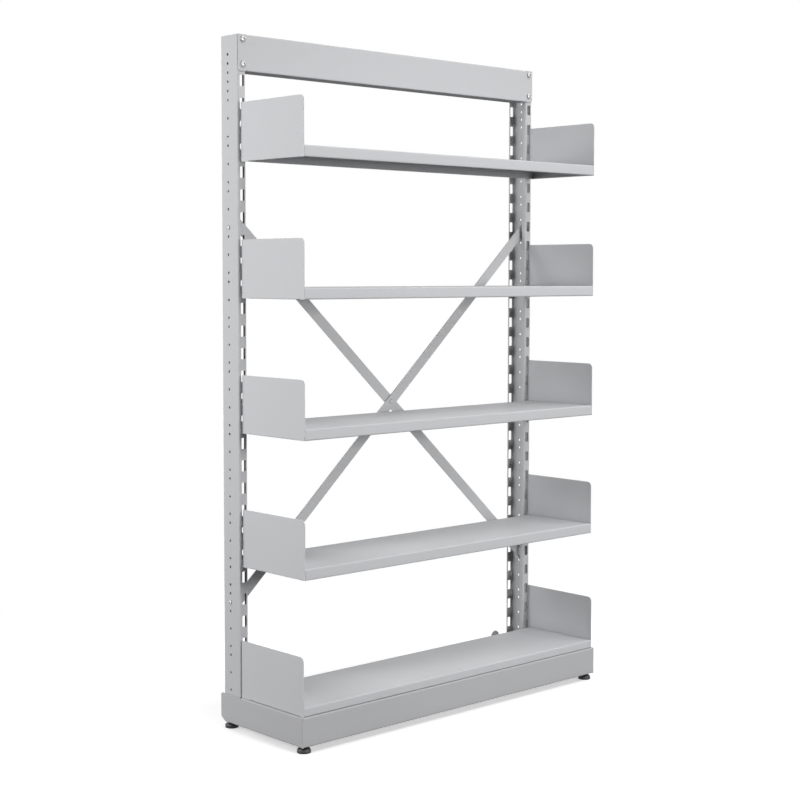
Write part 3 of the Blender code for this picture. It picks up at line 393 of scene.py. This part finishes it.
def black_plastic(name):
    """Moulded black plastic with a fine spark texture and a little dust."""
    material, tree, shader = start_material(name)
    dust = add_range(tree, add_noise(tree, *PLASTIC_DUST), DUST_START, DUST_COVER)
    colour = add_mix(tree, dust, shade(PLASTIC_COLOUR, 1.0), shade(PLASTIC_COLOUR, DUST_SHADE))
    tree.links.new(colour, shader.inputs["Base Color"])
    spark = add_noise(tree, *PLASTIC_SPARK)
    tree.links.new(add_range(tree, spark, NOISE_BROAD, PLASTIC_ROUGHNESS), shader.inputs["Roughness"])
    tree.links.new(add_bump(tree, spark, SPARK_BUMP), shader.inputs["Normal"])
    return material


# Sheet pieces

def smooth_group():
    """Geometry nodes that shade a piece smooth apart from its sharp edges."""
    group = bpy.data.node_groups.new("smooth_by_angle", "GeometryNodeTree")
    group.interface.new_socket("Geometry", in_out="INPUT", socket_type="NodeSocketGeometry")
    group.interface.new_socket("Geometry", in_out="OUTPUT", socket_type="NodeSocketGeometry")
    start = add_node(group, "NodeGroupInput")
    bare = add_node(group, "GeometryNodeRemoveAttribute", {"Name": "custom_normal"})
    faces = add_node(group, "GeometryNodeSetShadeSmooth", {"Shade Smooth": True}, domain="FACE")
    edges = add_node(group, "GeometryNodeSetShadeSmooth", {"Shade Smooth": False}, domain="EDGE")
    turn = add_node(group, "GeometryNodeInputMeshEdgeAngle")
    sharp = add_node(group, "FunctionNodeCompare", {1: SHARP_ANGLE}, operation="GREATER_THAN")
    end = add_node(group, "NodeGroupOutput")
    group.links.new(turn.outputs["Unsigned Angle"], sharp.inputs[0])
    group.links.new(sharp.outputs[0], edges.inputs["Selection"])
    chain = (start, bare, faces, edges, end)
    for node, following in zip(chain, chain[1:]):
        group.links.new(node.outputs[0], following.inputs[0])
    return group


def finish_sheet(node, material, group):
    """Round a sheet piece's edges, shade it and paint it."""
    piece = frame["nodes"][node]
    weld = piece.modifiers.new("weld", "WELD")
    weld.merge_threshold = WELD_DISTANCE
    flat = piece.modifiers.new("flat_faces", "DECIMATE")
    flat.decimate_type = "DISSOLVE"
    flat.angle_limit = FLAT_ANGLE
    edge = piece.modifiers.new("rounded_edges", "BEVEL")
    edge.width = EDGE_RADIUS
    edge.segments = EDGE_STEPS
    edge.limit_method = "ANGLE"
    edge.angle_limit = SHARP_ANGLE
    edge.use_clamp_overlap = False
    smooth = piece.modifiers.new("smooth_by_angle", "NODES")
    smooth.node_group = group
    normals = piece.modifiers.new("flat_normals", "WEIGHTED_NORMAL")
    normals.weight = NORMAL_WEIGHT
    normals.keep_sharp = True
    piece.material_slots[0].material = material


# Outlines and rings, where a ring is an outline and its height

def round_at(radius):
    """Outline of a circle: the same radius at every angle."""
    return lambda angle: radius


def hexagon_at(flats):
    """Outline of a hexagon with a corner at angle 0."""
    return lambda angle: flats / 2 / math.cos((angle % HEXAGON_SECTOR) - HEXAGON_SECTOR / 2)


def chamfered_at(flats, radius):
    """Outline of a hexagon whose corners are turned down to a radius."""
    hexagon = hexagon_at(flats)
    return lambda angle: min(hexagon(angle), radius)


def thread_at(size, height):
    """Outline of a screw thread at a height."""
    depth = size["pitch"] * THREAD_DEPTH
    top = size["shank"] / 2

    def radius(angle):
        phase = (height / size["pitch"] - angle / TURN) % 1.0
        return top - depth * abs(2 * phase - 1)
    return radius


def thread_rings(size, start, end):
    """Rings of a thread between two heights."""
    count = max(2, round((end - start) / size["pitch"] * THREAD_STEPS))
    heights = [start + (end - start) * step / count for step in range(count + 1)]
    return [(thread_at(size, height), height) for height in heights]


def dome_angles(widest):
    """Angles from 0 to the widest one, in the steps of a dome."""
    return [widest * step / DOME_STEPS for step in range(DOME_STEPS + 1)]


def dome_rings(radius, mouth, start, end):
    """Rings of a dome from its foot up to a mouth radius."""
    widest = math.acos(mouth / radius)
    rings = []
    for angle in dome_angles(widest):
        rise = math.sin(angle) / math.sin(widest)
        rings.append((round_at(radius * math.cos(angle)), start + (end - start) * rise))
    return rings


def ring_mesh(name, rings, sides):
    """Skin a stack of rings into a closed mesh about Z."""
    bm = bmesh.new()
    loops = []
    for outline, height in rings:
        loop = []
        for number in range(sides):
            angle = TURN * number / sides
            radius = outline(angle)
            loop.append(bm.verts.new((radius * math.cos(angle), radius * math.sin(angle), height)))
        loops.append(loop)
    for loop, following in zip(loops, loops[1:]):
        for number in range(sides):
            after = (number + 1) % sides
            bm.faces.new((loop[number], loop[after], following[after], following[number]))
    bm.faces.new(list(reversed(loops[0])))
    bm.faces.new(loops[-1])
    mesh = bpy.data.meshes.new(name)
    bm.to_mesh(mesh)
    bm.free()
    mesh.shade_smooth()
    mesh.set_sharp_from_angle(angle=SHARP_ANGLE)
    return mesh


# Hardware

def seat(node, direction):
    """Where a node's near end lies and how it turns: (matrix, length along, width across).

    Local +Z is the direction. Local X is the node's wider way across, where a hexagon has corners.
    """
    low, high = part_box(node)
    size = high - low
    axis = Vector(direction)
    along = max(range(3), key=lambda k: abs(axis[k]))
    across = [k for k in range(3) if k != along]
    wide = max(across, key=lambda k: size[k])
    near = (low + high) / 2
    near[along] = low[along] if axis[along] > 0 else high[along]
    corner = Vector((0, 0, 0))
    corner[wide] = 1
    turn = Matrix((corner, axis.cross(corner), axis)).transposed()
    return Matrix.Translation(near) @ turn.to_4x4(), size[along], min(size[k] for k in across)


def add_hardware(node, rings, sides, matrix, material):
    """Put a finer piece in a node's place, on the node's body."""
    mesh = ring_mesh(f"fine_{node}", rings, sides)
    mesh.materials.append(material)
    piece = bpy.data.objects.new(f"fine_{node}", mesh)
    bpy.context.scene.collection.objects.link(piece)
    piece.matrix_world = matrix
    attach(piece, find_body(node))
    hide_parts(node)


def add_bolt(node, direction, size, material):
    """Button-head bolt with a hexagon socket and a threaded shank."""
    matrix, length, width = seat(node, direction)
    under = length - size["head"]
    shank = size["shank"] / 2
    mouth = size["socket"] * SOCKET_MOUTH
    socket = hexagon_at(size["socket"])
    rings = [(round_at(shank - size["pitch"]), 0.0)]
    rings += thread_rings(size, size["pitch"], under - size["pitch"])
    rings += [(round_at(shank), under - size["pitch"] / 2), (round_at(shank), under)]
    rings += [(round_at(width / 2 - HEAD_EDGE), under), (round_at(width / 2), under + HEAD_EDGE)]
    rings += dome_rings(width / 2, mouth, under + HEAD_RIM * size["head"], length)
    rings += [(socket, length - HEAD_EDGE), (socket, length - SOCKET_DEPTH * size["head"])]
    add_hardware(node, rings, ROUND_SIDES, matrix, material)


def add_nut(node, direction, size, material):
    """Hexagon nut with turned-down corners and chamfered mouths, closed where the shank fills it."""
    matrix, height, flats = seat(node, direction)
    bore = size["shank"] / 2 + NUT_CLEARANCE
    corner = flats / 2 / math.cos(HEXAGON_SECTOR / 2)
    face = flats / 2 * NUT_FACE
    drop = (corner - face) / math.tan(NUT_SLOPE)
    slope = []
    for step in range(NUT_STEPS + 1):
        radius = face + (corner - face) * step / NUT_STEPS
        slope.append((chamfered_at(flats, radius), drop * step / NUT_STEPS))
    rings = [(round_at(bore), NUT_LEAD), (round_at(bore + NUT_LEAD), 0.0)]
    rings += slope
    rings += [(outline, height - rise) for outline, rise in reversed(slope)]
    rings += [(round_at(bore + NUT_LEAD), height), (round_at(bore), height - NUT_LEAD)]
    add_hardware(node, rings, ROUND_SIDES, matrix, material)


def add_rivet(node, direction, material):
    """Rivet with a dome at both ends."""
    matrix, length, width = seat(node, direction)
    tip = RIVET_TIP * width
    shank = round_at(RIVET_SHANK / 2)
    lower = dome_rings(width / 2, tip, RIVET_HEAD, 0.0)
    upper = dome_rings(width / 2, tip, length - RIVET_HEAD, length)
    rings = list(reversed(lower)) + [(shank, RIVET_HEAD), (shank, length - RIVET_HEAD)] + upper
    add_hardware(node, rings, ROUND_SIDES, matrix, material)


def add_stud(node, size, material):
    """Threaded stud of a levelling foot, with turned ends."""
    matrix, length, _ = seat(node, UP)
    core = round_at(size["shank"] / 2 - size["pitch"])
    thread = thread_rings(size, size["pitch"], length - size["pitch"])
    add_hardware(node, [(core, 0.0)] + thread + [(core, length)], THREAD_SIDES, matrix, material)


def add_pad(node, material):
    """Pad of a levelling foot: round rim, groove, dome, hexagon neck and a socket for the stud."""
    matrix, height, width = seat(node, UP)
    rim = width / 2
    ledge = PAD_RIM + PAD_GROOVE
    spread = rim - PAD_GROOVE / 2 - PAD_NECK / 2
    flats = PAD_NECK * math.cos(HEXAGON_SECTOR / 2)
    neck = hexagon_at(flats)
    socket = round_at(PAD_SOCKET / 2)
    rings = []
    for angle in dome_angles(math.pi / 2):
        radius = rim - PAD_ROUND * (1 - math.sin(angle))
        rings.append((round_at(radius), PAD_ROUND * (1 - math.cos(angle))))
    rings += [(round_at(rim), PAD_RIM - PAD_GROOVE), (round_at(rim - PAD_GROOVE), PAD_RIM)]
    for angle in dome_angles(math.pi / 2):
        radius = PAD_NECK / 2 + spread * math.cos(angle)
        rings.append((round_at(radius), ledge + (PAD_DOME - ledge) * math.sin(angle)))
    rings += [(neck, PAD_DOME), (neck, height - PAD_GROOVE)]
    rings += [(hexagon_at(flats - 2 * PAD_GROOVE), height), (socket, height), (socket, PAD_FLOOR)]
    add_hardware(node, rings, ROUND_SIDES, matrix, material)


def outward(node):
    """Direction away from the bay, on the side that a node's name gives."""
    return LEFT if "left" in node else RIGHT


# Makers of the finer pieces, by the start of the node's name
FINE_PIECES = (
    ("header_bolt", lambda node, finish: add_bolt(node, FRONT, M6, finish)),
    ("header_nut", lambda node, finish: add_nut(node, FRONT, M6, finish)),
    ("rail_bolt", lambda node, finish: add_bolt(node, BACK, M6, finish)),
    ("rail_nut", lambda node, finish: add_nut(node, BACK, M6, finish)),
    ("brace_bolt", lambda node, finish: add_bolt(node, outward(node), M5, finish)),
    ("brace_nut", lambda node, finish: add_nut(node, outward(node), M5, finish)),
    ("brace_rivet", lambda node, finish: add_rivet(node, FRONT, finish)),
    ("foot_nut", lambda node, finish: add_nut(node, UP, M8, finish)),
    ("foot_stud", lambda node, finish: add_stud(node, M8, finish)),
    ("foot_pad", add_pad),
)


def dress():
    """Give every node its finish."""
    group = smooth_group()
    materials = {
        "frame_paint": powder_coat("frame_powder_coat", FRAME_COLOUR, FRAME_RECESS),
        "shelf_paint": powder_coat("shelf_powder_coat", SHELF_COLOUR, SHEET_RECESS),
        "plinth_paint": powder_coat("plinth_powder_coat", PLINTH_COLOUR, SHEET_RECESS),
        "brace_paint": powder_coat("brace_powder_coat", BRACE_COLOUR, SHEET_RECESS),
        "zinc_plate": zinc_plate("bright_zinc"),
        "black_plastic": black_plastic("moulded_black"),
    }
    for node in sorted(frame["nodes"]):
        material = materials[find_slot(node)]
        makers = [maker for start, maker in FINE_PIECES if node.startswith(start)]
        if makers:
            makers[0](node, material)
        else:
            finish_sheet(node, material, group)


# Scene

def add_camera():
    """Camera at the photograph's viewing angle."""
    data = bpy.data.cameras.new("camera")
    data.lens = CAMERA_LENS
    data.sensor_width = CAMERA_SENSOR
    data.shift_y = CAMERA_SHIFT
    camera = bpy.data.objects.new("camera", data)
    camera.location = CAMERA_PLACE
    camera.rotation_euler = (math.pi / 2 - CAMERA_PITCH, CAMERA_ROLL, -CAMERA_YAW)
    bpy.context.scene.collection.objects.link(camera)
    bpy.context.scene.camera = camera


def add_seen_factor(tree):
    """Return 1 for rays that show a surface to the eye, straight, mirrored or through glass."""
    rays = add_node(tree, "ShaderNodeLightPath").outputs
    mirrored = add_math(tree, "MAXIMUM", rays["Is Glossy Ray"], rays["Is Transmission Ray"])
    return add_math(tree, "MAXIMUM", rays["Is Camera Ray"], mirrored)


def add_world():
    """White all round to the eye, with a softer ambient light on the object."""
    world = bpy.data.worlds.new("studio")
    world.use_nodes = True
    tree = world.node_tree
    light = tree.nodes["Background"]
    light.inputs["Color"].default_value = shade(WHITE, 1.0)
    light.inputs["Strength"].default_value = AMBIENT
    white = add_node(tree, "ShaderNodeBackground", {"Color": shade(WHITE, 1.0), "Strength": BACKDROP})
    studio = mix_shaders(tree, add_seen_factor(tree), light.outputs[0], white.outputs[0])
    tree.links.new(studio, tree.nodes["World Output"].inputs["Surface"])
    bpy.context.scene.world = world


def floor_material():
    """White floor that keeps a pale shadow near the object and fades into the backdrop."""
    material, tree, shader = start_material("studio_floor")
    tree.nodes.remove(shader)
    glow = add_node(tree, "ShaderNodeEmission", {"Strength": FLOOR_GLOW})
    matt = add_node(tree, "ShaderNodeBsdfDiffuse", {"Color": shade(WHITE, FLOOR_SHADE)})
    near = add_node(tree, "ShaderNodeAddShader")
    tree.links.new(glow.outputs[0], near.inputs[0])
    tree.links.new(matt.outputs[0], near.inputs[1])
    far = add_node(tree, "ShaderNodeEmission", {"Strength": BACKDROP})
    place = add_node(tree, "ShaderNodeTexCoord")
    length = add_node(tree, "ShaderNodeVectorMath", operation="LENGTH")
    tree.links.new(place.outputs["Object"], length.inputs[0])
    fade = add_range(tree, length.outputs["Value"], (FLOOR_NEAR, FLOOR_FAR), WHOLE_RANGE)
    seen = mix_shaders(tree, fade, near.outputs[0], far.outputs[0])
    bounce = add_node(tree, "ShaderNodeBsdfDiffuse", {"Color": shade(WHITE, FLOOR_BOUNCE)})
    surface = mix_shaders(tree, add_seen_factor(tree), bounce.outputs[0], seen)
    tree.links.new(surface, tree.nodes["Material Output"].inputs["Surface"])
    return material


def add_floor():
    """Plain floor under the feet."""
    half = FLOOR_SIZE / 2
    mesh = bpy.data.meshes.new("studio_floor")
    corners = [(-half, -half, 0), (half, -half, 0), (half, half, 0), (-half, half, 0)]
    mesh.from_pydata(corners, [], [(0, 1, 2, 3)])
    floor = bpy.data.objects.new("studio_floor", mesh)
    floor.location.z = cad_box[0].z
    mesh.materials.append(floor_material())
    bpy.context.scene.collection.objects.link(floor)


def add_lamp(name, place, target, size, power):
    """Soft light of a width and height, turned to a target."""
    data = bpy.data.lights.new(name, "AREA")
    data.shape = "RECTANGLE"
    data.size = size[0]
    data.size_y = size[1]
    data.energy = power
    lamp = bpy.data.objects.new(name, data)
    lamp.location = place
    lamp.rotation_euler = (Vector(target) - Vector(place)).to_track_quat("-Z", "Y").to_euler()
    bpy.context.scene.collection.objects.link(lamp)


dress()
add_camera()
add_world()
add_floor()
for lamp in LAMPS:
    add_lamp(*lamp)
bpy.context.scene.view_settings.view_transform = "Standard"
